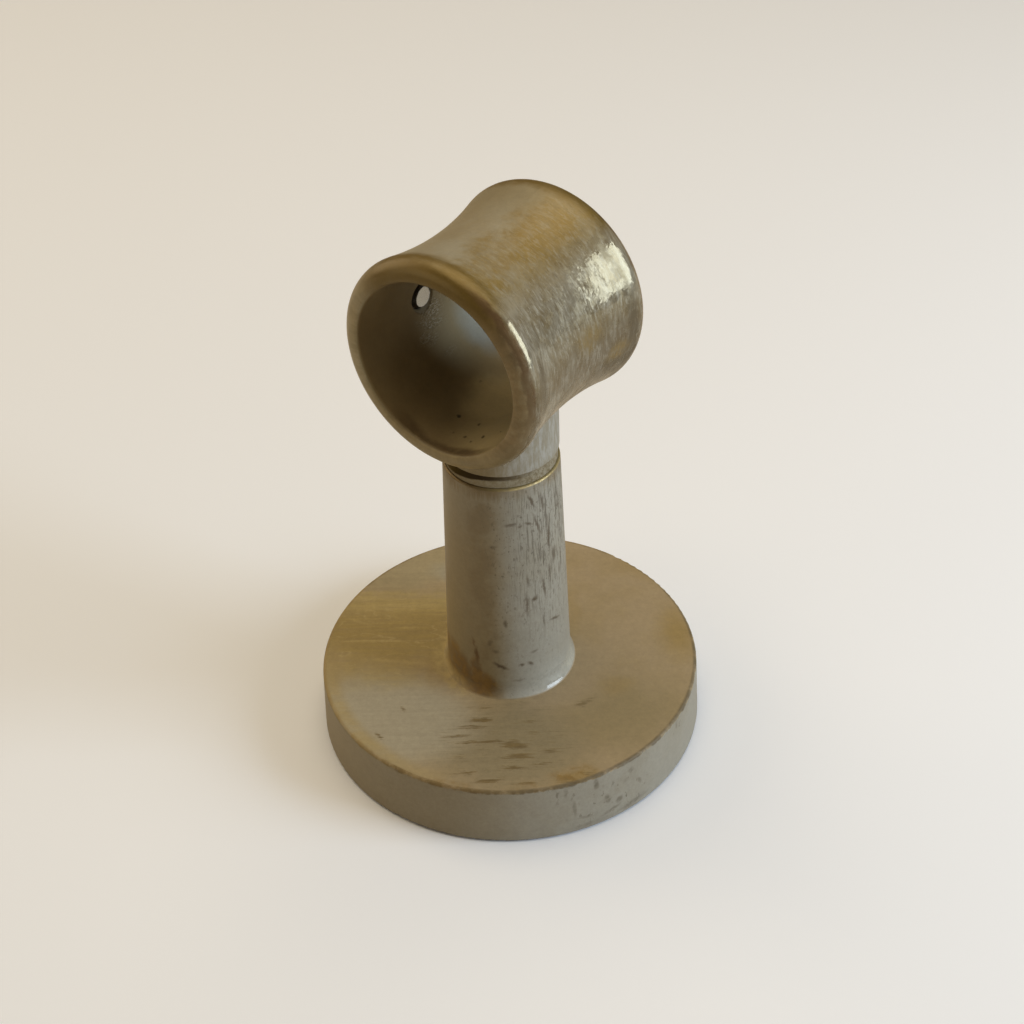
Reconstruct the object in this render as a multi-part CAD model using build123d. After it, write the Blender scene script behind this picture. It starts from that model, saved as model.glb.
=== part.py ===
from build123d import *
import math
import os

# Ceiling pole bracket, in millimetres.
# Origin: centre of the base's mounting face.  +Z away from the ceiling, +Y along the pole.

# ---- round base and post, one casting
BASE_R_BOTTOM = 30.5      # radius at the mounting face
BASE_R_TOP = 30.0         # radius at the upper face, less the casting draft
BASE_T = 10.3             # height of the base
BASE_EDGE_R = 0.5         # rounded upper edge
BASE_FOOT_R = 0.4         # rounded lower edge
POST_R_FOOT = 9.9         # post radius where it meets the base
POST_R_TOP = 8.7          # post radius at its top
POST_TOP_Z = 50.4         # height of the post's top face
FLARE_R = 10.65           # foot of the post, where its short flare meets the base
FLARE_H = 2.0             # height of the flare
POST_RIM_R = 0.35         # rounded rim at the post's top
CAVITY_R = 26.9           # hollow under the base
CAVITY_H = 6.2

# ---- head: barrel, neck and collar, one casting
AXIS_Z = 73.0             # height of the pole's axis
BORE_R = 13.0             # through bore for a 25 mm pole
WAIST_R = 14.7            # smallest outer radius, at mid length
WAIST_ARC_R = 52.0        # concave arc along the barrel
LIP_R = 2.3               # rounded outer lip
HALF_LEN = 14.4           # half the barrel's length
BORE_EDGE_R = 0.6         # rounded edge of the bore
NECK_R = 8.6              # neck under the barrel
NECK_FILLET_R = 2.0       # neck into barrel
COLLAR_R = 8.35           # recessed collar at the neck's foot
COLLAR_H = 2.0
HEAD_GAP = 0.1            # between the collar and the post's top face
NECK_RIM_R = 0.3          # rounded lower edge of the neck

# ---- joining stud, M6
STUD_R = 3.0
STUD_DOWN = 9.0           # length held in the post
STUD_UP = 6.0             # length in the neck
STUD_CHAMFER = 0.6
STUD_RUN = 0.05           # radial running clearance in the neck

# ---- set screws, M4 x 4 with a flat point and a hexagon socket
SCREW_R = 2.0
SCREW_LEN = 4.0
POINT_R = 1.6             # flat of the point
POINT_LEN = 0.4
SOCKET_AF = 2.0           # socket width across flats
SOCKET_DEPTH = 1.8
SCREW_RUN = 0.05          # radial running clearance in the thread
SCREW_STAND = 0.2         # how far the pole screw stands into the bore
TAP_CHAMFER = 0.35        # chamfer of the tapped hole at the bore

# ---- fixing plate
PLATE_R = 26.5
PLATE_RIM_W = 5.0         # width of the raised rim
PLATE_H = CAVITY_H        # the rim reaches the roof of the hollow
PLATE_WEB_T = 3.0         # thickness of the web
GROOVE_Z = 3.5            # groove round the edge
GROOVE_W_OUT = 5.0
GROOVE_W_IN = 3.8
GROOVE_D = 1.2
PLATE_HOLE_R = 2.25       # clearance for 4 mm wood screws
PLATE_SINK_R = 4.5        # countersink
PLATE_PCD = 30.0
PLATE_HOLES = 3
LOCK_TIP_R = 25.7         # where the lock screw's point stands
LOCK_ANGLE = 180.0        # side of the rim with the lock screw, under the pole screw

os.makedirs("parts", exist_ok=True)


def near(shape, x, y):
    """The sketch vertex closest to a point of its own plane."""
    return min(shape.vertices(), key=lambda v: math.hypot(v.X - x, v.Y - y))


def lathe(points, fillets):
    """Closed profile given as (radius, height), turned about Z."""
    face = make_face(Polyline(*points, close=True))
    for (x, y), r in fillets:
        face = fillet(near(face, x, y), r)
    return revolve(Plane.XZ * face, Axis.Z)


def set_screw():
    """Set screw along +X: flat point at the origin, body back along -X."""
    body = make_face(
        Polyline(
            (0, 0),
            (POINT_R, 0),
            (SCREW_R, -POINT_LEN),
            (SCREW_R, -SCREW_LEN + 0.3),
            (SCREW_R - 0.3, -SCREW_LEN),
            (0, -SCREW_LEN),
            close=True,
        )
    )
    solid = revolve(Plane.XZ * body, Axis.Z)
    socket = extrude(
        Plane((0, 0, -SCREW_LEN)) * RegularPolygon(SOCKET_AF / 2, 6, major_radius=False),
        SOCKET_DEPTH,
    )
    drill = Pos(0, 0, -SCREW_LEN + SOCKET_DEPTH) * Cone(
        SOCKET_AF / 2 * 0.98, 0.1, 0.5, align=(Align.CENTER, Align.CENTER, Align.MIN)
    )
    return Rot(0, 90, 0) * (solid - socket - drill)


def hole_x(radius, x0, x1, y, z):
    """Round hole along X."""
    return Pos((x0 + x1) / 2, y, z) * (Rot(0, 90, 0) * Cylinder(radius, x1 - x0))


# ------------------------------------------------------------------ base and post
slope = (POST_R_TOP - POST_R_FOOT) / (POST_TOP_Z - BASE_T)
flare_top = (POST_R_FOOT + slope * FLARE_H, BASE_T + FLARE_H)
outline = Polyline(
    (FLARE_R, BASE_T),
    (BASE_R_TOP, BASE_T),
    (BASE_R_BOTTOM, 0),
    (CAVITY_R, 0),
    (CAVITY_R, CAVITY_H),
    (0, CAVITY_H),
    (0, POST_TOP_Z),
    (POST_R_TOP, POST_TOP_Z),
    flare_top,
)
# concave flare, tangent to the post's side
flare = TangentArc(flare_top, (FLARE_R, BASE_T), tangent=(-slope, -1))
section = make_face(Wire([*outline.edges(), *flare.edges()]))
for at, r in (
    ((BASE_R_BOTTOM, 0), BASE_FOOT_R),
    ((BASE_R_TOP, BASE_T), BASE_EDGE_R),
    ((POST_R_TOP, POST_TOP_Z), POST_RIM_R),
):
    section = fillet(near(section, *at), r)
base_post = revolve(Plane.XZ * section, Axis.Z)
# tapped hole for the stud, down from the post's top
base_post -= Pos(0, 0, POST_TOP_Z) * Cylinder(
    STUD_R, STUD_DOWN, align=(Align.CENTER, Align.CENTER, Align.MAX)
)
# tapped hole for the lock screw, through the rim
base_post -= Rot(0, 0, LOCK_ANGLE) * hole_x(
    SCREW_R + SCREW_RUN, CAVITY_R - 1.0, BASE_R_BOTTOM + 1.0, 0, GROOVE_Z
)

# ------------------------------------------------------------------ head
# outer profile of the barrel: concave waist arc, tangent to a rounded lip at each end
lip_y = HALF_LEN - LIP_R
arc_c = WAIST_R + WAIST_ARC_R
lip_c = arc_c - math.sqrt((WAIST_ARC_R + LIP_R) ** 2 - lip_y**2)
t = WAIST_ARC_R / (WAIST_ARC_R + LIP_R)
join_y, join_r = lip_y * t, arc_c + (lip_c - arc_c) * t


def barrel_side(sign):
    """Lip arc and end face on one side, from the waist arc to the bore."""
    a0 = math.atan2(join_r - lip_c, join_y - lip_y)
    mid = a0 / 2
    lip = ThreePointArc(
        (sign * join_y, join_r),
        (sign * (lip_y + LIP_R * math.cos(mid)), lip_c + LIP_R * math.sin(mid)),
        (sign * HALF_LEN, lip_c),
    )
    edge_c = (HALF_LEN - BORE_EDGE_R, BORE_R + BORE_EDGE_R)
    s = BORE_EDGE_R * math.sqrt(0.5)
    face = Line((sign * HALF_LEN, lip_c), (sign * HALF_LEN, edge_c[1]))
    edge = ThreePointArc(
        (sign * HALF_LEN, edge_c[1]),
        (sign * (edge_c[0] + s), edge_c[1] - s),
        (sign * edge_c[0], BORE_R),
    )
    return lip, face, edge, edge_c[0]


lip_f, face_f, edge_f, bore_y = barrel_side(-1)
lip_b, face_b, edge_b, _ = barrel_side(1)
waist = ThreePointArc((-join_y, join_r), (0, WAIST_R), (join_y, join_r))
core = Line((-bore_y, BORE_R), (bore_y, BORE_R))
# the blank is solid inside, so that the neck joins it before the bore is cut
blank_axis = Polyline((-bore_y, BORE_R), (-bore_y, 0), (bore_y, 0), (bore_y, BORE_R))
blank_face = make_face(
    Wire([*lip_f.edges(), *face_f.edges(), *edge_f.edges(), *waist.edges(),
          *lip_b.edges(), *face_b.edges(), *edge_b.edges(), *blank_axis.edges()])
)
head_plane = Plane(origin=(0, 0, AXIS_Z), x_dir=(0, 1, 0), z_dir=(1, 0, 0))
barrel = revolve(head_plane * blank_face, Axis((0, 0, AXIS_Z), (0, 1, 0)))

neck_z0 = POST_TOP_Z + HEAD_GAP + COLLAR_H
neck = Pos(0, 0, neck_z0) * Cylinder(
    NECK_R, AXIS_Z - neck_z0, align=(Align.CENTER, Align.CENTER, Align.MIN)
)
head = barrel + neck
joint_edges = [
    e
    for e in head.edges()
    if abs(math.hypot(e.center().X, e.center().Y)) < NECK_R + 0.5
    and all(
        abs(math.hypot((e @ u).X, (e @ u).Y) - NECK_R) < 0.02 for u in (0.1, 0.35, 0.6, 0.9)
    )
    and max((e @ u).Z for u in (0.0, 0.25, 0.5, 0.75)) > neck_z0 + 1.0
    and e.geom_type != GeomType.LINE
]
head = fillet(joint_edges, NECK_FILLET_R)
rim = [
    e
    for e in head.edges()
    if all(abs((e @ u).Z - neck_z0) < 0.01 for u in (0.0, 0.3, 0.7))
]
head = fillet(rim, NECK_RIM_R)
collar = Pos(0, 0, POST_TOP_Z + HEAD_GAP) * Cylinder(
    COLLAR_R, COLLAR_H + 1.0, align=(Align.CENTER, Align.CENTER, Align.MIN)
)
head += collar
# through bore, with its rounded ends
bore_face = make_face(
    Wire([
        *edge_f.edges(),
        *core.edges(),
        *edge_b.edges(),
        *Polyline(
            (-HALF_LEN, BORE_R + BORE_EDGE_R),
            (-HALF_LEN, 0),
            (HALF_LEN, 0),
            (HALF_LEN, BORE_R + BORE_EDGE_R),
        ).edges(),
    ])
)
pole_ring = head - revolve(head_plane * bore_face, Axis((0, 0, AXIS_Z), (0, 1, 0)))
# blind hole for the stud
pole_ring -= Pos(0, 0, POST_TOP_Z) * Cylinder(
    STUD_R + STUD_RUN, STUD_UP + 0.6, align=(Align.CENTER, Align.CENTER, Align.MIN)
)
# tapped hole for the pole's set screw, with a chamfer at the bore
pole_ring -= hole_x(SCREW_R + SCREW_RUN, -HALF_LEN - 4.0, -BORE_R + 1.5, 0, AXIS_Z)
tap_r = SCREW_R + SCREW_RUN + TAP_CHAMFER
pole_ring -= Pos(-BORE_R + 1.0, 0, AXIS_Z) * (
    Rot(0, -90, 0)
    * Cone(tap_r + 1.0, tap_r - TAP_CHAMFER, 1.0 + TAP_CHAMFER,
           align=(Align.CENTER, Align.CENTER, Align.MIN))
)

# ------------------------------------------------------------------ stud
joining_stud = lathe(
    [
        (0, -STUD_DOWN),
        (STUD_R - STUD_CHAMFER, -STUD_DOWN),
        (STUD_R, -STUD_DOWN + STUD_CHAMFER),
        (STUD_R, STUD_UP - STUD_CHAMFER),
        (STUD_R - STUD_CHAMFER, STUD_UP),
        (0, STUD_UP),
    ],
    [],
)
joining_stud = Pos(0, 0, POST_TOP_Z) * joining_stud

# ------------------------------------------------------------------ set screws
pole_set_screw = Pos(-BORE_R + SCREW_STAND, 0, AXIS_Z) * set_screw()
plate_lock_screw = Rot(0, 0, LOCK_ANGLE) * (
    Pos(LOCK_TIP_R, 0, GROOVE_Z) * (Rot(0, 0, 180) * set_screw())
)

# ------------------------------------------------------------------ fixing plate
ceiling_plate = lathe(
    [
        (0, 0),
        (PLATE_R, 0),
        (PLATE_R, GROOVE_Z - GROOVE_W_OUT / 2),
        (PLATE_R - GROOVE_D, GROOVE_Z - GROOVE_W_IN / 2),
        (PLATE_R - GROOVE_D, GROOVE_Z + GROOVE_W_IN / 2),
        (PLATE_R, GROOVE_Z + GROOVE_W_OUT / 2),
        (PLATE_R, PLATE_H),
        (PLATE_R - PLATE_RIM_W, PLATE_H),
        (PLATE_R - PLATE_RIM_W, PLATE_WEB_T),
        (0, PLATE_WEB_T),
    ],
    [((PLATE_R - PLATE_RIM_W, PLATE_WEB_T), 0.8)],
)
for i in range(PLATE_HOLES):
    a = math.radians(LOCK_ANGLE + 360.0 * i / PLATE_HOLES)
    x, y = PLATE_PCD / 2 * math.cos(a), PLATE_PCD / 2 * math.sin(a)
    sink = PLATE_SINK_R - PLATE_HOLE_R
    ceiling_plate -= Pos(x, y, PLATE_WEB_T / 2) * Cylinder(PLATE_HOLE_R, PLATE_WEB_T + 2)
    ceiling_plate -= Pos(x, y, PLATE_WEB_T - sink) * Cone(
        PLATE_HOLE_R, PLATE_SINK_R, sink, align=(Align.CENTER, Align.CENTER, Align.MIN)
    )

for name, shape in {
    "base_post": base_post,
    "pole_ring": pole_ring,
    "joining_stud": joining_stud,
    "pole_set_screw": pole_set_screw,
    "ceiling_plate": ceiling_plate,
    "plate_lock_screw": plate_lock_screw,
}.items():
    solids = shape.solids()
    export_step(solids[0] if len(solids) == 1 else shape, f"parts/{name}.step")
    print(name, len(solids), round(sum(s.volume for s in solids), 1))
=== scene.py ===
import math

import bmesh
import bpy
from mathutils import Matrix, Vector


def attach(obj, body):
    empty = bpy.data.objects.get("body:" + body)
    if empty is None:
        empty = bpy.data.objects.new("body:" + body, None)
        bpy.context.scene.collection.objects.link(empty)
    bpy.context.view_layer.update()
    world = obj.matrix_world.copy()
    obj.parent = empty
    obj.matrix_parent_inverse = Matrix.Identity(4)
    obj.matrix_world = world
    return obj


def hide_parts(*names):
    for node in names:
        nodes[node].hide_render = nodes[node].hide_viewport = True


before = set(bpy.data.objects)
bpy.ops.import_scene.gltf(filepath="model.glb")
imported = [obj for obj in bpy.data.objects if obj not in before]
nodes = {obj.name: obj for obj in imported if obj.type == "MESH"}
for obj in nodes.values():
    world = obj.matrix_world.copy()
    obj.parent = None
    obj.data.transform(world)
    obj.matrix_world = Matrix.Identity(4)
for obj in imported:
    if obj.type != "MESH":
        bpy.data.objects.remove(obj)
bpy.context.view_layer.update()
scene = bpy.context.scene
MM = 0.001

scene.view_settings.view_transform = "Standard"
scene.view_settings.look = "None"
scene.view_settings.exposure = 0.0
scene.view_settings.gamma = 1.0

# Sizes of the castings, in millimetres, as the frame has them.
BASE_T = 10.3
POST_FOOT_R = 9.9
POST_TOP_R = 8.7
POST_TOP = 50.4
NECK_Z = 52.5
AXIS_Z = 73.0
BORE_R = 13.0
HALF_LEN = 14.4
# On the base's upper face, U runs with the brush marks and V across them.
TURN = math.radians(35.87)

# ------------------------------------------------------------------ camera
CAM_POS = Vector((125.4726, -163.0480, 204.0327)) * MM
CAM_FWD = Vector((-0.472371, 0.621718, -0.624766)).normalized()
CAM_UP = Vector((-0.347547, 0.520017, 0.780252))
CAM_RIGHT = CAM_FWD.cross(CAM_UP).normalized()
CAM_UP = CAM_RIGHT.cross(CAM_FWD).normalized()
cam_data = bpy.data.cameras.new("camera")
cam_data.sensor_fit = "HORIZONTAL"
cam_data.sensor_width = 36.0
cam_data.lens = 1747.19 / 1024.0 * 36.0
cam_data.clip_start = 0.01
cam_data.clip_end = 20.0
camera = bpy.data.objects.new("camera", cam_data)
camera.matrix_world = Matrix(
    (
        (CAM_RIGHT.x, CAM_UP.x, -CAM_FWD.x, CAM_POS.x),
        (CAM_RIGHT.y, CAM_UP.y, -CAM_FWD.y, CAM_POS.y),
        (CAM_RIGHT.z, CAM_UP.z, -CAM_FWD.z, CAM_POS.z),
        (0, 0, 0, 1),
    )
)
scene.collection.objects.link(camera)
scene.camera = camera

# ------------------------------------------------------------------ light
# Plain soft light: a cool key from the right and behind, broad warm light from above and the left.
world = bpy.data.worlds.new("world")
scene.world = world
world.use_nodes = True
wt = world.node_tree
bg = wt.nodes["Background"]
bg.inputs["Color"].default_value = (1.0, 0.86, 0.66, 1.0)
bg.inputs["Strength"].default_value = 0.08
backdrop = wt.nodes.new("ShaderNodeBackground")
backdrop.inputs["Color"].default_value = (0.90, 0.87, 0.82, 1.0)
backdrop.inputs["Strength"].default_value = 0.9
path = wt.nodes.new("ShaderNodeLightPath")
pick = wt.nodes.new("ShaderNodeMixShader")
wt.links.new(path.outputs["Is Camera Ray"], pick.inputs[0])
wt.links.new(bg.outputs[0], pick.inputs[1])
wt.links.new(backdrop.outputs[0], pick.inputs[2])
wt.links.new(pick.outputs[0], wt.nodes["World Output"].inputs["Surface"])


def area(name, direction, distance, size_x, size_y, power, colour, target=(0, 0, 45)):
    data = bpy.data.lights.new(name, "AREA")
    data.shape = "RECTANGLE"
    data.size, data.size_y = size_x, size_y
    data.energy = power
    data.color = colour
    obj = bpy.data.objects.new(name, data)
    d = Vector(direction).normalized()
    obj.location = Vector(target) * MM + d * distance
    obj.rotation_euler = d.to_track_quat("Z", "Y").to_euler()
    obj.visible_camera = False
    scene.collection.objects.link(obj)
    return obj


area("key", (0.870, 0.338, 0.358), 0.60, 0.30, 0.40, 2.90, (0.75, 0.86, 0.96))
area("overhead", (-0.1, 0.1, 1.0), 0.80, 0.80, 0.80, 4.50, (1.0, 0.83, 0.57))
area("left", (-0.90, -0.10, 0.40), 0.80, 0.60, 0.60, 1.40, (1.0, 0.80, 0.55))
area("front", (0.90, -0.25, 0.35), 0.70, 0.40, 0.40, 0.25, (1.0, 0.84, 0.64))
area("fill", (-0.55, -0.80, 0.30), 0.80, 0.50, 0.50, 0.60, (1.0, 0.84, 0.62))


# ------------------------------------------------------------------ node helper
class Graph:
    """One material's node tree, with a principled shader at its end."""

    def __init__(self, name):
        self.mat = bpy.data.materials.new(name)
        self.mat.use_nodes = True
        self.tree = self.mat.node_tree
        self.tree.nodes.clear()
        self.out = self.tree.nodes.new("ShaderNodeOutputMaterial")
        self.bsdf = self.tree.nodes.new("ShaderNodeBsdfPrincipled")
        self.tree.links.new(self.bsdf.outputs[0], self.out.inputs["Surface"])

    def put(self, socket, value):
        if value is None:
            return
        if isinstance(value, bpy.types.NodeSocket):
            self.tree.links.new(value, socket)
        elif isinstance(value, (tuple, list)) and len(socket.default_value) == 4 and len(value) == 3:
            socket.default_value = (*value, 1.0)
        else:
            socket.default_value = value

    def shader(self, **values):
        for name, value in values.items():
            self.put(self.bsdf.inputs[name.replace("_", " ")], value)

    def math(self, op, a, b=None, clamp=False):
        n = self.tree.nodes.new("ShaderNodeMath")
        n.operation = op
        n.use_clamp = clamp
        self.put(n.inputs[0], a)
        self.put(n.inputs[1], b)
        return n.outputs[0]

    def add(self, a, b):
        return self.math("ADD", a, b)

    def sub(self, a, b):
        return self.math("SUBTRACT", a, b)

    def mul(self, a, b):
        return self.math("MULTIPLY", a, b)

    def most(self, *values):
        got = values[0]
        for v in values[1:]:
            got = self.math("MAXIMUM", got, v)
        return got

    def less(self, v):
        return self.math("SUBTRACT", 1.0, v)

    def vec(self, op, a, b=None, scale=None):
        n = self.tree.nodes.new("ShaderNodeVectorMath")
        n.operation = op
        self.put(n.inputs[0], a)
        self.put(n.inputs[1], b)
        if scale is not None:
            self.put(n.inputs["Scale"], scale)
        return n.outputs["Value" if op in ("LENGTH", "DOT_PRODUCT") else "Vector"]

    def split(self, v):
        n = self.tree.nodes.new("ShaderNodeSeparateXYZ")
        self.put(n.inputs[0], v)
        return n.outputs[0], n.outputs[1], n.outputs[2]

    def join(self, x, y, z):
        n = self.tree.nodes.new("ShaderNodeCombineXYZ")
        for s, v in zip(n.inputs, (x, y, z)):
            self.put(s, v)
        return n.outputs[0]

    def noise(self, v, scale=1.0, detail=2.0, rough=0.5, distortion=0.0, colour=False):
        n = self.tree.nodes.new("ShaderNodeTexNoise")
        self.put(n.inputs["Vector"], v)
        n.inputs["Scale"].default_value = scale
        n.inputs["Detail"].default_value = detail
        n.inputs["Roughness"].default_value = rough
        n.inputs["Distortion"].default_value = distortion
        return n.outputs["Color" if colour else "Fac"]

    def cells(self, v, scale=1.0, randomness=1.0, output="Distance"):
        n = self.tree.nodes.new("ShaderNodeTexVoronoi")
        self.put(n.inputs["Vector"], v)
        n.inputs["Scale"].default_value = scale
        n.inputs["Randomness"].default_value = randomness
        return n.outputs[output]

    def ramp(self, v, low, high, to_low=0.0, to_high=1.0):
        """Smooth step of v between low and high; falls where low is above high."""
        if low > high:
            low, high, to_low, to_high = high, low, to_high, to_low
        n = self.tree.nodes.new("ShaderNodeMapRange")
        n.interpolation_type = "SMOOTHSTEP"
        self.put(n.inputs["Value"], v)
        n.inputs["From Min"].default_value = low
        n.inputs["From Max"].default_value = high
        n.inputs["To Min"].default_value = to_low
        n.inputs["To Max"].default_value = to_high
        return n.outputs["Result"]

    def band(self, v, low0, low1, high1, high0):
        """1 between low1 and high1, falling to 0 at low0 and high0."""
        return self.mul(self.ramp(v, low0, low1), self.ramp(v, high0, high1))

    def mix(self, fac, a, b):
        n = self.tree.nodes.new("ShaderNodeMix")
        n.data_type = "RGBA"
        self.put(n.inputs[0], fac)
        self.put(n.inputs[6], a)
        self.put(n.inputs[7], b)
        return n.outputs[2]

    def mixf(self, fac, a, b):
        n = self.tree.nodes.new("ShaderNodeMix")
        n.data_type = "FLOAT"
        self.put(n.inputs[0], fac)
        self.put(n.inputs[2], a)
        self.put(n.inputs[3], b)
        return n.outputs[0]

    def tint(self, colour, factor):
        """A colour made lighter or darker by a factor that varies over the surface."""
        return self.vec("SCALE", colour, scale=factor)

    def bump(self, height, distance, strength=1.0, below=None):
        n = self.tree.nodes.new("ShaderNodeBump")
        n.inputs["Strength"].default_value = strength
        n.inputs["Distance"].default_value = distance * MM
        self.put(n.inputs["Height"], height)
        self.put(n.inputs["Normal"], below)
        return n.outputs[0]

    def place(self):
        """Position on the casting in millimetres."""
        n = self.tree.nodes.new("ShaderNodeTexCoord")
        return self.vec("SCALE", n.outputs["Object"], scale=1000.0)

    def shaken(self, p, amount, scale, detail=2.0):
        """Position pushed about by noise, so that the marks get ragged edges."""
        c = self.noise(p, scale, detail, 0.6, colour=True)
        c = self.vec("SUBTRACT", c, (0.5, 0.5, 0.5))
        return self.vec("ADD", p, self.vec("SCALE", c, scale=amount))

    def dab(self, p, centre, along, across, size, core=0.6):
        """A soft oval mark: 1 in its core, 0 outside. size is its half length, half width and half depth."""
        e1 = Vector(along).normalized()
        e2 = Vector(across).normalized()
        e3 = e1.cross(e2)
        turn = Matrix((e1, e2, e3)).transposed().to_euler()
        m = self.tree.nodes.new("ShaderNodeMapping")
        m.vector_type = "TEXTURE"
        self.put(m.inputs["Vector"], p)
        m.inputs["Location"].default_value = centre
        m.inputs["Rotation"].default_value = turn
        m.inputs["Scale"].default_value = size
        g = self.tree.nodes.new("ShaderNodeTexGradient")
        g.gradient_type = "SPHERICAL"
        self.tree.links.new(m.outputs[0], g.inputs[0])
        return self.ramp(g.outputs["Fac"], 0.0, core)

    def dabs(self, p, marks, where, depth, core=0.6):
        """The strongest of several marks, each (u, v, half length, half width, turn in degrees, strength)."""
        got = None
        for u, v, length, width, turn, strength in marks:
            centre, e1, e2 = where(u, v)
            c, s = math.cos(math.radians(turn)), math.sin(math.radians(turn))
            d = self.dab(p, centre, e1 * c + e2 * s, e2 * c - e1 * s, (length, width, depth), core)
            if strength != 1.0:
                d = self.mul(d, strength)
            got = d if got is None else self.most(got, d)
        return got


def on_top(a, b):
    """A point of the base's upper face, a along the brush marks and b across them."""
    c, s = math.cos(TURN), math.sin(TURN)
    return (
        Vector((a * c - b * s, a * s + b * c, BASE_T)),
        Vector((c, s, 0)),
        Vector((-s, c, 0)),
    )


def on_post(angle, z):
    """A point of the post, by its angle round Z and its height."""
    t = math.radians(angle)
    r = POST_FOOT_R + (POST_TOP_R - POST_FOOT_R) * (z - BASE_T) / (POST_TOP - BASE_T)
    return (
        Vector((r * math.cos(t), r * math.sin(t), z)),
        Vector((-math.sin(t), math.cos(t), 0)),
        Vector((0, 0, 1)),
    )


def on_rim(angle, z):
    """A point of the base's side."""
    t = math.radians(angle)
    r = 30.5 - 0.5 * z / BASE_T
    return (
        Vector((r * math.cos(t), r * math.sin(t), z)),
        Vector((-math.sin(t), math.cos(t), 0)),
        Vector((0, 0, 1)),
    )


def on_ring(angle, y, r=15.0):
    """A point of the barrel, by its angle round the pole's axis, from +X towards +Z, and its place along the pole."""
    t = math.radians(angle)
    return (
        Vector((r * math.cos(t), y, AXIS_Z + r * math.sin(t))),
        Vector((0, 1, 0)),
        Vector((-math.sin(t), 0, math.cos(t))),
    )


def in_bore(angle, y):
    return on_ring(angle, y, BORE_R)


# Albedos of the finish.
IVORY = (0.345, 0.328, 0.278)
IVORY_IN_SHADE = (0.280, 0.226, 0.132)
GOLD = (0.335, 0.254, 0.092)
# ivory in painted shade, for the side away from the key light
UMBER = (0.098, 0.076, 0.048)
BROWN = (0.126, 0.086, 0.032)


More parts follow.
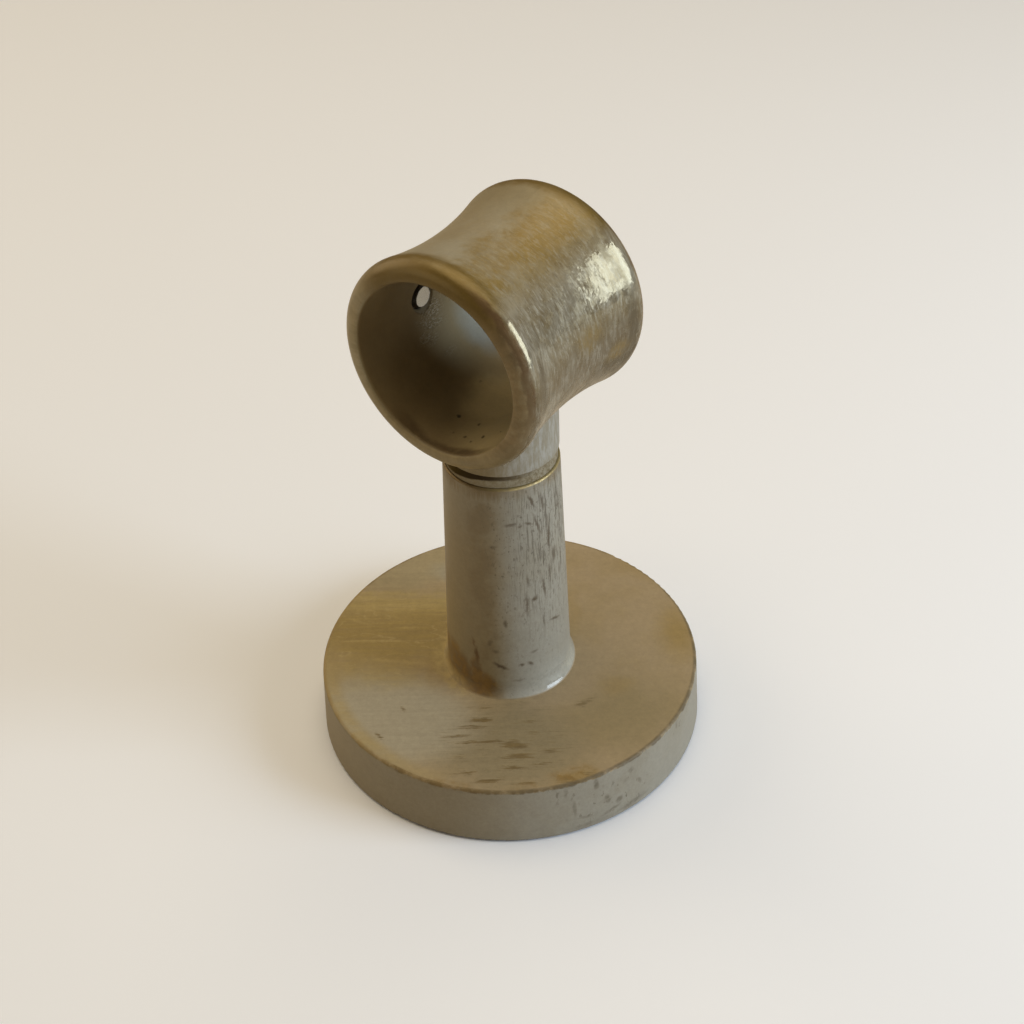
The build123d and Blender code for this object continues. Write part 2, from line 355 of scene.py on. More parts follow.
# ------------------------------------------------------------------ base and post
def base_finish():
    g = Graph("base_finish")
    p = g.place()
    x, y, z = g.split(p)
    r = g.math("SQRT", g.add(g.mul(x, x), g.mul(y, y)))
    turn = g.mul(g.math("ARCTAN2", y, x), 180.0 / math.pi)
    fine = g.shaken(p, 0.55, 1.3)
    loose = g.shaken(p, 4.0, 0.20, 3.0)

    # where on the casting
    post = g.ramp(z, BASE_T + 0.02, BASE_T + 0.30)
    chipped = g.sub(g.noise(p, 0.9, 4.0, 0.62), 0.5)
    upper = g.mul(g.ramp(g.add(z, g.mul(chipped, 0.9)), BASE_T - 0.45, BASE_T - 0.25), g.less(post))
    under = g.mul(g.ramp(r, 30.0, 29.4), g.ramp(z, BASE_T - 1.0, BASE_T - 2.0))

    # brush coordinates on the upper face
    c, s = math.cos(TURN), math.sin(TURN)
    a = g.add(g.mul(x, c), g.mul(y, s))
    b = g.sub(g.mul(y, c), g.mul(x, s))
    brush = g.noise(g.join(g.mul(a, 0.09), g.mul(b, 1.25), 0.0), 1.0, 4.0, 0.65)
    drag = g.noise(g.join(g.mul(a, 0.24), g.mul(b, 1.7), 4.0), 1.0, 3.0, 0.62)
    brush_wide = g.noise(g.join(g.mul(a, 0.05), g.mul(b, 0.34), 7.0), 1.0, 3.0, 0.6)
    cloud = g.noise(p, 0.11, 3.0, 0.55)
    mottle = g.noise(p, 0.8, 4.0, 0.6)
    grain = g.noise(p, 4.5, 2.0, 0.6)
    flecked = g.noise(p, 1.9, 3.0, 0.68)

    # upper face: thin wash of tan and ivory over gold
    top = g.mix(g.ramp(cloud, 0.38, 0.62), (0.332, 0.256, 0.152), (0.312, 0.238, 0.130))
    top = g.mix(g.dabs(loose, [(17, -15, 15, 10, 25, 0.85)], on_top, 12.0, 0.8), top, (0.268, 0.208, 0.104))
    top = g.mix(g.dabs(loose, [(0, -21, 15, 12, 0, 0.9)], on_top, 12.0, 0.6), top, (0.224, 0.184, 0.106))
    top = g.mix(g.dabs(loose, [(-18, -13, 17, 12, -30, 1.0)], on_top, 12.0, 0.5), top, (0.326, 0.287, 0.204))
    top = g.mix(g.dabs(loose, [(-17, 22, 13, 8, 25, 0.9)], on_top, 12.0, 0.6), top, (0.302, 0.246, 0.140))
    top = g.mix(g.dabs(loose, [(-9.0, 20.5, 6.5, 4.0, 0, 0.75)], on_top, 12.0, 0.7), top, (0.300, 0.270, 0.195))
    soft = g.dabs(
        loose,
        [
            (27.5, 4.0, 4.6, 9.0, 6, 1.0),
            (22.0, 20.0, 9.0, 3.5, -45, 0.45),
            (17.0, -8.0, 4.0, 3.0, 20, 0.5),
            (10.5, 10.0, 2.0, 9.0, 0, 0.4),
            (10.0, -27.3, 4.6, 2.0, 14, 0.8),
            (-11.8, -2.0, 2.4, 5.0, -10, 0.7),
        ],
        on_top,
        12.0,
        0.9,
    )
    top = g.mix(soft, top, (0.290, 0.206, 0.078))
    # the rubbed gold patch on the left, crisp along its far side
    patch = g.mul(
        g.mul(
            g.ramp(g.add(b, g.add(g.mul(g.sub(brush_wide, 0.5), 7.0), g.mul(g.sub(mottle, 0.5), 3.2))), 16.8, 12.8),
            g.ramp(g.add(b, g.mul(g.sub(cloud, 0.5), 12.0)), -8.5, 2.0),
        ),
        g.ramp(g.add(a, g.mul(g.sub(cloud, 0.5), 10.0)), -3.0, -12.0),
    )
    patch = g.mul(patch, g.ramp(brush, 0.30, 0.60, 0.72, 1.0))
    # painted sheen: the gold patch made lighter towards its far side
    top = g.mix(patch, top, g.mix(g.ramp(g.add(b, g.mul(g.sub(drag, 0.5), 9.0)), 5.0, 13.0), GOLD, (0.400, 0.312, 0.128)))
    # pale gold streaks in the patch: marks in the gold, made lighter as painted sheen
    lines = g.dabs(
        fine,
        [
            (-22.5, 3.6, 8.5, 0.42, -1, 0.9),
            (-20, 11.8, 11.0, 1.4, 0, 0.75),
            (-25, 8.4, 3.6, 0.50, -24, 0.6),
            (-23, 14.3, 8.0, 0.7, 2, 0.5),
            (-18, -1.4, 7.0, 0.7, -8, 0.5),
            (-17, 6.6, 5.0, 0.5, 0, 0.35),
        ],
        on_top,
        2.0,
        0.9,
    )
    top = g.mix(g.mul(lines, g.ramp(drag, 0.35, 0.6, 0.5, 1.0)), top, (0.460, 0.362, 0.158))
    vein = g.noise(g.join(g.mul(a, 0.10), g.mul(b, 0.26), 3.0), 1.0, 2.0, 0.5)
    vein = g.ramp(g.math("ABSOLUTE", g.sub(vein, 0.5)), 0.014, 0.002)
    vein = g.mul(g.mul(vein, patch), g.ramp(mottle, 0.40, 0.60, 0.15, 0.7))
    top = g.mix(vein, top, (0.440, 0.350, 0.170))
    t = math.radians(-142.0)
    left_foot = g.math("DIVIDE", g.add(g.mul(x, math.cos(t)), g.mul(y, math.sin(t))), r)
    left_foot = g.ramp(left_foot, 0.50, 0.88)
    # gold round the left of the post's foot, made lighter as painted sheen
    gold_and_sheen_by_foot = g.mul(left_foot, g.ramp(g.add(r, g.mul(g.sub(cloud, 0.5), 3.0)), 13.0, 10.6))
    gold_and_sheen_by_foot = g.mul(gold_and_sheen_by_foot, g.ramp(mottle, 0.34, 0.60, 0.35, 0.9))
    top = g.mix(gold_and_sheen_by_foot, top, (0.420, 0.328, 0.138))
    pressed = g.dabs(
        fine,
        [
            (-4.4, -14.9, 4.0, 0.9, 2, 0.9),
            (-6.0, -16.4, 4.2, 0.8, 0, 0.7),
            (-4.0, -19.5, 8.0, 0.7, 1, 0.75),
            (0.8, -20.3, 3.6, 1.4, -6, 1.0),
            (1.5, -22.7, 3.8, 1.2, 5, 0.95),
            (0.4, -25.0, 4.0, 0.8, 0, 0.7),
            (4.6, -24.4, 2.8, 0.7, 8, 0.6),
            (-3.0, -27.6, 4.0, 0.9, 4, 0.85),
            (2.0, -28.2, 3.0, 0.8, 0, 0.7),
            (-4.6, -12.2, 3.6, 0.7, 0, 0.5),
            (3.0, -15.4, 3.6, 0.7, 4, 0.5),
            (4.0, -17.6, 3.6, 0.6, 0, 0.45),
            (6.2, -21.6, 3.0, 0.9, 10, 0.6),
            (-8.5, -22.6, 5.0, 0.7, 0, 0.45),
            (-20.0, -17.9, 1.8, 0.6, -52, 0.75),
            (-16.5, -12.2, 1.2, 0.5, -60, 0.65),
            (11.6, -11.6, 3.0, 1.2, 30, 0.6),
            (8.6, -27.6, 3.0, 1.1, 10, 0.55),
            (11.8, -26.4, 2.4, 0.9, -10, 0.5),
            (-6.5, -25.8, 4.0, 0.8, 0, 0.55),
            (-8.0, -18.2, 4.6, 0.7, 0, 0.6),
        ],
        on_top,
        2.5,
        1.0,
    )
    dry = g.noise(g.join(g.mul(a, 0.36), g.mul(b, 2.9), 2.0), 1.0, 4.0, 0.68)
    strokes = g.ramp(g.add(g.mul(pressed, 0.80), g.mul(g.sub(dry, 0.5), 1.9)), 0.10, 0.72)
    strokes = g.mul(strokes, g.ramp(pressed, 0.03, 0.22))
    rubbed = g.dab(loose, on_top(0.0, -20)[0], on_top(0, 0)[1], on_top(0, 0)[2], (15, 14, 8), 0.55)
    rubbed = g.mul(rubbed, g.ramp(dry, 0.52, 0.72))
    top = g.mix(g.mul(rubbed, 0.7), top, (0.180, 0.136, 0.062))
    top = g.mix(strokes, top, g.mix(g.ramp(drag, 0.36, 0.60), BROWN, (0.168, 0.118, 0.046)))
    blotch = g.dabs(loose, [(9.5, -26.8, 5.0, 2.6, 12, 1.0), (3.5, -29.0, 5.0, 1.4, 6, 0.5), (-9.0, -28.3, 5.0, 1.5, -16, 0.6)], on_top, 6.0, 0.8)
    blotch = g.mul(blotch, g.ramp(g.noise(p, 0.62, 4.0, 0.65), 0.40, 0.62, 0.15, 0.9))
    top = g.mix(blotch, top, (0.212, 0.130, 0.031))
    near = g.ramp(a, 14.0, -2.0, 0.25, 1.0)
    top = g.tint(top, g.add(1.0, g.mul(g.sub(brush, 0.5), g.mul(near, 0.34))))

    # side of the base and the post: thick ivory, browner and darker on the side away from the key light as painted
    # shade, with scratches down to the brown
    ivory = g.mix(g.ramp(g.noise(p, 0.16, 3.0, 0.5), 0.42, 0.70), IVORY, (0.322, 0.300, 0.244))
    # painted shade: the ivory turns brown and darker round the side away from the key light, less on the base's side
    # and towards the post's top
    painted_shade_side = g.band(g.add(turn, g.mul(g.sub(cloud, 0.5), 12.0)), -179.0, -125.0, -76.0, -42.0)
    ivory = g.mix(g.mul(painted_shade_side, g.mixf(post, 0.60, 1.0)), ivory, IVORY_IN_SHADE)
    ivory = g.mix(g.mul(g.mul(painted_shade_side, post), g.ramp(z, 36.0, 48.0, 0.0, 0.35)), ivory, IVORY)
    # painted shade: a darker brown band down the post where the key light falls off
    painted_shade_band = g.mul(g.band(g.add(turn, g.mul(g.sub(mottle, 0.5), 16.0)), -98.0, -84.0, -68.0, -56.0), g.ramp(g.noise(p, 0.22, 3.0, 0.6), 0.40, 0.62))
    ivory = g.mix(g.mul(g.mul(painted_shade_band, post), 0.55), ivory, (0.215, 0.158, 0.080))
    pooled = g.dabs(p, [(-10, 11.6, 11.0, 7.0, 0, 1.0)], on_post, 9.0, 1.0)
    ivory = g.mix(pooled, ivory, (0.405, 0.396, 0.345))
    shine = g.dabs(p, [(-9, 11.6, 5.4, 2.2, 4, 1.0)], on_post, 3.0, 0.6)
    tall = g.noise(g.join(g.mul(x, 2.8), g.mul(y, 2.8), g.mul(z, 0.17)), 1.0, 3.0, 0.62)
    hair = g.noise(g.join(g.mul(x, 6.5), g.mul(y, 6.5), g.add(g.mul(z, 0.42), 9.0)), 1.0, 3.0, 0.62)
    worn = g.mul(g.band(turn, -58.0, -12.0, 20.0, 75.0), g.ramp(g.add(z, g.mul(g.sub(cloud, 0.5), 14.0)), 18.0, 34.0))
    worn = g.most(
        worn,
        g.dabs(loose, [(120, 38, 10.0, 16.0, 0, 0.8), (205, 30, 9.0, 13.0, 0, 0.5)], on_post, 7.0, 0.7),
    )
    scratch = g.mul(g.ramp(tall, 0.550, 0.615), worn)
    dusted = g.mul(g.band(turn, -66.0, -24.0, 20.0, 75.0), g.ramp(g.add(z, g.mul(g.sub(cloud, 0.5), 14.0)), 14.0, 40.0))
    scratch = g.most(scratch, g.mul(g.mul(g.ramp(hair, 0.550, 0.630), dusted), 0.9))
    specks = g.ramp(g.cells(g.join(g.mul(x, 1.15), g.mul(y, 1.15), g.mul(z, 0.62)), 1.05), 0.28, 0.13)
    specks = g.mul(g.mul(specks, g.ramp(g.noise(p, 0.30, 2.0), 0.36, 0.56)), g.mul(g.band(turn, -82.0, -50.0, 20.0, 60.0), g.ramp(z, 12.0, 44.0, 0.35, 1.0)))
    dots = g.ramp(g.noise(g.join(x, y, g.mul(z, 0.7)), 2.3, 2.0, 0.5), 0.625, 0.70)
    dots = g.mul(dots, g.mul(g.band(turn, -84.0, -58.0, 20.0, 60.0), g.ramp(z, 14.0, 42.0, 0.30, 1.0)))
    scratch = g.mul(g.most(scratch, g.mul(specks, 0.75), g.mul(dots, 0.8)), post)
    marks = g.dabs(
        fine,
        [
            (-84, 18.0, 0.60, 2.4, 6, 0.95),
            (-87, 20.4, 0.40, 1.4, 10, 0.6),
            (-61, 16.6, 1.9, 0.60, -28, 1.0),
            (-41, 16.7, 0.65, 0.45, 0, 0.8),
            (-33, 16.6, 0.80, 0.48, -45, 0.9),
            (-3, 23.2, 1.9, 0.38, -20, 0.8),
            (-26, 29.2, 0.9, 0.6, 0, 0.9),
            (-55, 25.2, 0.45, 1.1, 8, 0.75),
            (-29, 18.8, 0.9, 0.40, 0, 0.5),
            (-65, 19.6, 0.9, 0.5, 0, 0.5),
            (-64, 40.0, 0.9, 0.5, 10, 0.5),
            (-47, 44.0, 1.3, 0.45, 8, 0.7),
            (-38, 43.5, 0.6, 0.45, 0, 0.6),
            (-29, 43.6, 0.9, 0.40, -20, 0.7),
            (-34, 28.4, 0.36, 3.2, 0, 0.75),
            (-32, 33.0, 0.36, 1.8, 6, 0.6),
            (-15, 30.5, 0.36, 3.2, 6, 0.8),
            (-17, 24.4, 0.32, 2.2, 0, 0.6),
            (-6, 39.5, 0.42, 4.6, 0, 0.9),
            (0, 35.6, 0.65, 2.0, 0, 0.8),
            (-7, 33.0, 0.36, 2.4, 0, 0.7),
            (8, 32.0, 0.45, 1.6, 0, 0.6),
            (12, 43.6, 1.0, 0.5, -20, 0.6),
            (-20, 43.0, 0.34, 3.4, 16, 0.7),
            (-25, 47.5, 0.38, 2.1, 24, 0.85),
            (-13, 46.6, 0.38, 2.6, 10, 0.7),
            (-45, 13.6, 1.6, 0.34, 0, 0.35),
            (-70, 21.2, 0.5, 1.0, -14, 0.5),
        ],
        on_post,
        2.5,
        0.85,
    )
    marks = g.mul(marks, g.ramp(grain, 0.26, 0.46, 0.60, 1.0))
    scratch = g.mul(scratch, g.ramp(grain, 0.28, 0.50, 0.65, 1.0))
    ragged_foot = g.shaken(p, 2.2, 0.42, 3.0)
    smear = g.dabs(
        ragged_foot,
        [
            (-102, 11.4, 10.0, 4.0, 0, 0.95),
            (-126, 14.6, 2.0, 4.6, 24, 0.85),
            (-112, 15.0, 2.4, 4.4, 18, 0.95),
            (-98, 13.8, 2.2, 4.4, 16, 1.0),
            (-84, 14.4, 1.5, 4.2, 8, 1.0),
            (-73, 12.6, 1.9, 3.0, 20, 1.0),
        ],
        on_post,
        5.0,
        0.6,
    )
    smear = g.mul(smear, g.ramp(mottle, 0.30, 0.58, 0.55, 1.0))
    collar_gold = g.mul(
        g.ramp(g.add(z, g.mul(g.sub(tall, 0.5), 4.0)), POST_TOP - 2.4, POST_TOP - 0.5),
        g.ramp(g.noise(p, 0.14, 2.0), 0.34, 0.58, 0.25, 1.0),
    )
    rim_scuffs = g.dabs(
        fine,
        [
            (-35.5, 5.0, 0.45, 2.6, 4, 0.5),
            (-38.0, 8.8, 0.5, 1.5, 0, 0.7),
            (-28.5, 8.8, 0.7, 1.8, 0, 0.85),
            (-25.0, 4.6, 0.8, 1.3, 20, 0.8),
            (-21.0, 3.4, 0.9, 0.9, 30, 0.75),
            (-16.5, 8.0, 0.8, 0.9, 35, 0.7),
            (-18.5, 6.6, 0.8, 0.6, 35, 0.5),
            (-13.5, 4.9, 0.5, 1.1, 20, 0.6),
            (5.0, 9.0, 0.6, 1.2, 0, 0.75),
            (-16.0, 1.2, 4.0, 0.7, 4, 0.7),
            (-30.0, 0.9, 5.0, 0.6, 0, 0.45),
            (-24.0, 2.0, 3.0, 0.5, 14, 0.6),
            (-32.0, 2.6, 2.0, 0.45, -10, 0.4),
            (150.0, 5.5, 3.0, 0.8, 10, 0.6),
            (95.0, 4.0, 2.2, 0.6, -20, 0.6),
        ],
        on_rim,
        2.5,
        0.75,
    )
    rim_scuffs = g.mul(rim_scuffs, g.ramp(mottle, 0.36, 0.60, 0.25, 1.0))
    nicks = g.ramp(g.noise(g.join(g.mul(x, 1.5), g.mul(y, 1.5), g.mul(z, 0.8)), 1.0, 3.0, 0.6), 0.60, 0.68)
    nicks = g.mul(nicks, g.dabs(loose, [(-24, 3.6, 10.0, 5.0, 0, 1.0), (-40, 8.5, 5.0, 2.6, 0, 0.7), (8, 8.0, 4.0, 2.4, 0, 0.6), (150, 5, 9.0, 4.0, 0, 0.8)], on_rim, 5.0, 0.7))
    rim_scuffs = g.most(rim_scuffs, g.mul(nicks, 0.9))
    side = g.mix(g.mul(scratch, 0.78), ivory, UMBER)
    side = g.mix(marks, side, g.mix(g.ramp(turn, -80.0, -68.0), (0.130, 0.068, 0.018), (0.090, 0.062, 0.034)))
    scratch = g.math("MAXIMUM", scratch, marks, clamp=True)
    side = g.mix(smear, side, g.mix(g.ramp(mottle, 0.35, 0.62), (0.140, 0.070, 0.012), (0.236, 0.138, 0.034)))
    side = g.mix(g.mul(collar_gold, 0.8), side, (0.190, 0.130, 0.052))
    # painted reflection: the foot's flare on the left tinted gold, as if reflecting the gold upper face
    left_foot = g.mul(left_foot, g.ramp(g.add(z, g.mul(g.sub(mottle, 0.5), 1.6)), BASE_T + 2.4, BASE_T + 0.3))
    left_foot = g.mul(left_foot, g.ramp(mottle, 0.34, 0.60, 0.50, 0.95))
    side = g.mix(g.mul(left_foot, post), side, (0.410, 0.320, 0.138))
    crumb = g.dabs(fine, [(24, 11.8, 4.6, 2.4, 0, 1.0)], on_post, 4.0, 0.7)
    side = g.mix(g.mul(crumb, g.ramp(flecked, 0.36, 0.56, 0.2, 0.9)), side, (0.440, 0.420, 0.345))
    side = g.mix(rim_scuffs, side, (0.150, 0.132, 0.098))

    # worn edges show the gold
    ragged = g.noise(p, 0.42, 4.0, 0.62)
    edge = g.mul(g.ramp(r, 29.25, 29.70), g.ramp(g.add(z, g.mul(g.sub(ragged, 0.5), 1.6)), 9.75, 10.15))
    edge = g.mul(edge, g.mixf(g.band(turn, -85.0, -40.0, 40.0, 90.0), g.ramp(ragged, 0.38, 0.60, 0.15, 0.9), g.ramp(ragged, 0.34, 0.58, 0.45, 0.85)))
    edge_tone = g.mix(g.ramp(turn, -112.0, -84.0), (0.300, 0.222, 0.090), (0.185, 0.128, 0.046))
    edge_tone = g.mix(g.band(turn, -75.0, -40.0, 40.0, 90.0), edge_tone, (0.105, 0.078, 0.038))
    inner = g.mul(g.band(r, 26.8, 28.6, 31.0, 32.0), g.mul(upper, g.band(turn, -160.0, -140.0, -96.0, -66.0)))
    inner = g.mul(inner, g.ramp(brush_wide, 0.30, 0.60, 0.4, 0.85))
    # gold wear on the post's top rim; its lighter right and darker left are painted light and shade
    lit_side = g.band(turn, -85.0, -35.0, 40.0, 90.0)
    lip = g.mul(g.ramp(z, POST_TOP - 0.40, POST_TOP - 0.16), g.ramp(mottle, 0.25, 0.55, 0.6, 1.0))
    colour = g.mix(upper, side, top)
    colour = g.mix(inner, colour, (0.330, 0.252, 0.112))
    colour = g.mix(edge, colour, edge_tone)
    colour = g.mix(lip, colour, g.mix(lit_side, (0.205, 0.146, 0.060), (0.470, 0.360, 0.160)))
    cast = g.mix(g.ramp(mottle, 0.35, 0.65), (0.30, 0.29, 0.27), (0.22, 0.20, 0.165))
    colour = g.mix(under, colour, cast)
    shade = g.add(g.mul(g.sub(mottle, 0.5), 0.26), g.add(g.mul(g.sub(grain, 0.5), 0.14), g.mul(g.sub(flecked, 0.5), 0.30)))
    colour = g.tint(colour, g.add(1.0, shade))

    gold_shows = g.most(g.mul(g.mul(patch, upper), 0.30), lip)
    metal = g.math("MULTIPLY", gold_shows, 0.5, clamp=True)
    rough = g.mixf(upper, g.mixf(shine, 0.42, 0.09), 0.52)
    rough = g.mixf(g.mul(g.ramp(r, 29.2, 29.6), g.ramp(z, 9.3, 9.9)), rough, 0.62)
    rough = g.mixf(gold_shows, rough, 0.34)
    rough = g.mixf(g.mul(scratch, g.less(upper)), rough, 0.55)
    rough = g.math("ADD", rough, g.mul(g.sub(mottle, 0.5), 0.12), clamp=True)
    height = g.add(
        g.mul(g.mixf(upper, g.mul(tall, 0.3), brush), 0.35),
        g.sub(g.mul(mottle, 0.2), g.mul(g.most(g.mul(scratch, g.less(upper)), g.mul(strokes, upper)), 0.6)),
    )
    g.shader(
        Base_Color=colour,
        Metallic=metal,
        Roughness=rough,
        Normal=g.bump(grain, 0.006, 0.4, g.bump(height, 0.04, 0.5, g.bump(g.mul(mottle, g.most(shine, crumb)), 0.05, 0.5))),
        Specular_IOR_Level=0.65,
    )
    return g.mat


# ------------------------------------------------------------------ head
def head_finish():
    g = Graph("head_finish")
    p = g.place()
    x, y, z0 = g.split(p)
    z = g.sub(z0, AXIS_Z)
    rr = g.math("SQRT", g.add(g.mul(x, x), g.mul(z, z)))
    cx = g.math("DIVIDE", x, rr)
    cz = g.math("DIVIDE", z, rr)
    ay = g.math("ABSOLUTE", y)
    fine = g.shaken(p, 0.6, 1.2)
    loose = g.shaken(p, 4.0, 0.18, 3.0)

    bore = g.mul(g.ramp(rr, BORE_R + 0.30, BORE_R + 0.05), g.ramp(ay, HALF_LEN + 0.1, HALF_LEN - 0.35))
    face = g.mul(g.ramp(ay, 12.3, 13.8), g.less(bore))
    reach = g.math("SQRT", g.add(g.mul(x, x), g.mul(y, y)))
    neck = g.most(g.ramp(z, -15.0, -17.4), g.mul(g.ramp(reach, 9.3, 8.75), g.ramp(z, -11.0, -12.5)))

    # brushed round the barrel in short strokes
    bend = g.sub(g.noise(p, 0.30, 2.0, 0.5), 0.5)
    yb = g.add(y, g.mul(bend, 1.2))
    streak = g.noise(g.join(g.mul(cx, 8.5), g.mul(cz, 8.5), g.mul(yb, 1.7)), 1.0, 3.0, 0.62)
    dashes = g.noise(g.join(g.mul(cx, 10.0), g.mul(cz, 10.0), g.mul(yb, 3.6)), 1.0, 3.0, 0.62)
    threads = g.noise(g.join(g.mul(cx, 5.2), g.mul(cz, 5.2), g.mul(yb, 4.4)), 1.0, 3.0, 0.62)
    hairs = g.mixf(g.ramp(cz, 0.35, -0.15), dashes, threads)
    wide = g.noise(g.join(g.mul(cx, 3.6), g.mul(cz, 3.6), g.mul(y, 0.26)), 1.0, 4.0, 0.62)
    cloud = g.noise(p, 0.17, 4.0, 0.6)
    mottle = g.noise(p, 0.9, 4.0, 0.62)
    grain = g.noise(p, 5.0, 2.0, 0.6)
    flecked = g.noise(p, 2.0, 3.0, 0.68)
    down = g.noise(g.join(g.mul(x, 1.7), g.mul(y, 1.7), g.mul(z, 0.42)), 1.0, 4.0, 0.66)

    # how much of the pale coat is left, by side of the barrel
    uneven = g.add(g.mul(g.sub(wide, 0.5), 0.55), g.mul(g.sub(streak, 0.5), 0.30))
    right = g.mul(g.ramp(g.add(cx, uneven), 0.50, 0.84), g.ramp(cz, -1.2, -0.9))
    low = g.mul(g.ramp(cz, 0.42, -0.20), g.ramp(cx, 0.10, 0.45))
    crown = g.mul(g.ramp(g.add(cz, g.mul(g.sub(cloud, 0.5), 0.25)), 0.66, 0.84), g.ramp(g.add(cx, g.mul(g.sub(wide, 0.5), 0.5)), -0.06, 0.22))
    rubbed_side = g.most(right, g.mul(crown, 0.8))
    pale = (0.365, 0.345, 0.286)
    dark = (0.108, 0.080, 0.044)

    body = g.mix(g.ramp(cloud, 0.36, 0.64), (0.318, 0.288, 0.216), (0.298, 0.256, 0.174))
    body = g.mix(g.mul(g.ramp(y, 0.0, 11.0), 0.8), body, (0.246, 0.208, 0.130))
    ochre = g.mul(g.ramp(g.add(wide, g.mul(g.sub(streak, 0.5), 0.45)), 0.34, 0.64, 0.40, 1.0), crown)
    body = g.mix(ochre, body, (0.242, 0.166, 0.050))
    rust = g.mix(g.ramp(wide, 0.40, 0.64), (0.238, 0.208, 0.148), (0.192, 0.150, 0.084))
    # painted shade: darker tones on the barrel's lower right side
    rust = g.mix(low, rust, g.mix(g.ramp(wide, 0.42, 0.62), (0.165, 0.136, 0.096), (0.138, 0.104, 0.064)))
    body = g.mix(right, body, rust)
    whites = g.mul(g.ramp(streak, 0.50, 0.68), g.mixf(right, g.mul(crown, 0.34), 0.42))
    whites = g.most(whites, g.mul(g.ramp(hairs, 0.52, 0.66), g.mixf(g.most(right, low), g.mul(crown, 0.30), 0.72)))
    body = g.mix(whites, body, pale)
    browns = g.mul(g.ramp(streak, 0.47, 0.33), g.mixf(right, g.mul(crown, 0.20), 0.50))
    browns = g.most(browns, g.mul(g.ramp(hairs, 0.45, 0.33), g.mixf(right, g.mul(crown, 0.20), 0.50)))
    body = g.mix(browns, body, dark)
    # painted shade: the underside of the barrel, right and towards the back, darkened to about half
    body = g.tint(body, g.ramp(g.mul(g.ramp(cz, -0.10, -0.42), g.mul(g.ramp(cx, 0.30, 0.60), g.ramp(y, 1.0, 6.0))), 0.0, 1.0, 1.0, 0.56))
    spots = g.dabs(
        loose,
        [
            (8, 1.5, 3.4, 2.6, 0, 0.6),
            (-14, 8.5, 3.4, 2.6, 0, 0.75),
            (64, 5.5, 5.0, 1.8, 0, 0.7),
            (68, -5.0, 5.0, 1.6, 0, 0.6),
            (78, 2.0, 6.0, 1.4, 0, 0.5),
        ],
        on_ring,
        3.0,
        0.7,
    )
    body = g.mix(g.mul(spots, g.ramp(streak, 0.62, 0.42, 0.35, 1.0)), body, (0.240, 0.164, 0.056))
    grey = g.dabs(loose, [(12, -9.5, 3.0, 4.5, 0, 0.45), (30, -1.0, 4.5, 4.0, 0, 0.4), (-18, -8.0, 4.0, 5.0, 0, 0.6)], on_ring, 4.0, 0.7)
    body = g.mix(g.mul(grey, g.ramp(hairs, 0.36, 0.60, 0.3, 1.0)), body, (0.330, 0.315, 0.262))

    # rounded ends: rubbed to brown gold on the crown and the right, paler on the left and below
    end = g.mix(g.ramp(cloud, 0.40, 0.62), (0.370, 0.328, 0.230), (0.330, 0.280, 0.178))
    end_gold = g.mul(g.ramp(cz, 0.30, 0.88), g.ramp(cloud, 0.34, 0.56, 0.75, 1.0))
    end = g.mix(end_gold, end, (0.140, 0.092, 0.024))
    end_brown = g.mul(g.ramp(cx, 0.30, 0.85), g.ramp(mottle, 0.30, 0.60, 0.6, 1.0))
    end = g.mix(g.mul(end_brown, 0.85), end, (0.196, 0.138, 0.072))
    # a darker line along the middle of the rounding, broken, on the right
    around = g.noise(g.join(g.mul(cx, 7.0), g.mul(cz, 7.0), g.mul(ay, 1.6)), 1.0, 4.0, 0.65)
    worn_line = g.band(g.add(ay, g.mul(g.sub(around, 0.5), 1.3)), 12.7, 13.25, 13.65, 14.1)
    worn_line = g.mul(g.mul(worn_line, g.ramp(cx, 0.25, 0.60)), g.ramp(cz, -0.35, 0.05))
    end = g.mix(g.mul(g.ramp(cz, -0.45, -0.85), 0.9), end, (0.265, 0.210, 0.118))
    end = g.tint(end, g.ramp(around, 0.30, 0.70, 0.82, 1.16))
    # painted highlight: a pale band along the lip's crest on the right, where the key light is reflected; it is also
    # made glossy
    crest = g.mul(g.band(ay, 10.6, 11.4, 12.4, 13.2), g.band(cz, 0.10, 0.35, 0.72, 0.84))
    crest = g.mul(g.mul(crest, g.ramp(cx, 0.45, 0.80)), g.ramp(hairs, 0.36, 0.60, 0.5, 1.0))

    def toward(angle, none, full):
        """1 within full degrees of an angle round the neck, 0 beyond none degrees."""
        t = math.radians(angle)
        near = g.math("DIVIDE", g.add(g.mul(x, math.cos(t)), g.mul(y, math.sin(t))), reach)
        near = g.add(near, g.mul(g.sub(cloud, 0.5), 0.25))
        return g.ramp(near, math.cos(math.radians(none)), math.cos(math.radians(full)))

    # neck: pale, brushed downwards, tan in front
    shaft = g.mix(g.ramp(down, 0.38, 0.66), (0.276, 0.254, 0.204), (0.385, 0.382, 0.360))
    front = toward(-121.0, 84.0, 48.0)
    shaft = g.mix(g.mul(front, 0.85), shaft, (0.238, 0.190, 0.112))
    collar = g.mix(g.ramp(flecked, 0.35, 0.65), (0.300, 0.276, 0.214), (0.218, 0.190, 0.132))
    collar = g.mix(g.mul(toward(5.0, 62.0, 10.0), g.ramp(flecked, 0.42, 0.64, 0.0, 0.8)), collar, (0.120, 0.088, 0.046))
    # painted shade: the collar darker on the left, away from the key light
    collar = g.mix(toward(-148.0, 74.0, 28.0), collar, (0.160, 0.126, 0.074))
    shaft = g.mix(g.ramp(z0, NECK_Z + 0.02, NECK_Z - 0.06), shaft, collar)
